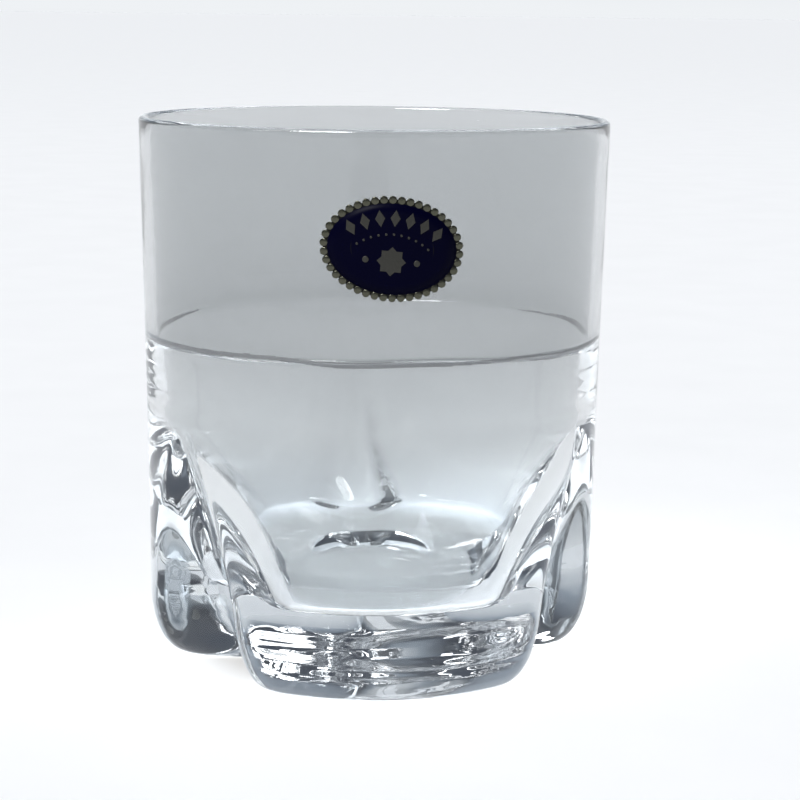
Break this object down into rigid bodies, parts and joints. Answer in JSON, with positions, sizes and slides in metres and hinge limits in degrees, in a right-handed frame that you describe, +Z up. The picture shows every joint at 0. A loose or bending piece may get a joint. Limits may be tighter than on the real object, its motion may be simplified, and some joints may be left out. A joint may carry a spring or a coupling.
{
  "type": "whiskey tumbler",
  "caption": "Clear glass whiskey tumbler: thin round wall, rounded inside with three soft lobes, heavy base split by arched recesses into broad feet, and an oval foil seal on the wall.",
  "frame": {"origin": "on the table plane, under the middle of the glass", "axes": "+Z up through the middle of the glass; -Y towards the foot below the seal; +X to the right when facing the seal"},
  "size_m": [0.088, 0.088, 0.102],
  "materials": {
    "clear_glass": "fire-polished, clear with a faint cool grey cast",
    "adhesive_film": "clear pressure-sensitive film",
    "champagne_foil": "embossed satin foil, pale champagne",
    "navy_lacquer": "glossy dark navy print"
  },
  "bodies": {
    "root": {"glass_body": "clear_glass", "seal_adhesive": "adhesive_film", "seal_foil": "champagne_foil", "seal_navy_field": "navy_lacquer", "seal_ornament": "champagne_foil"}
  },
  "joints": []
}
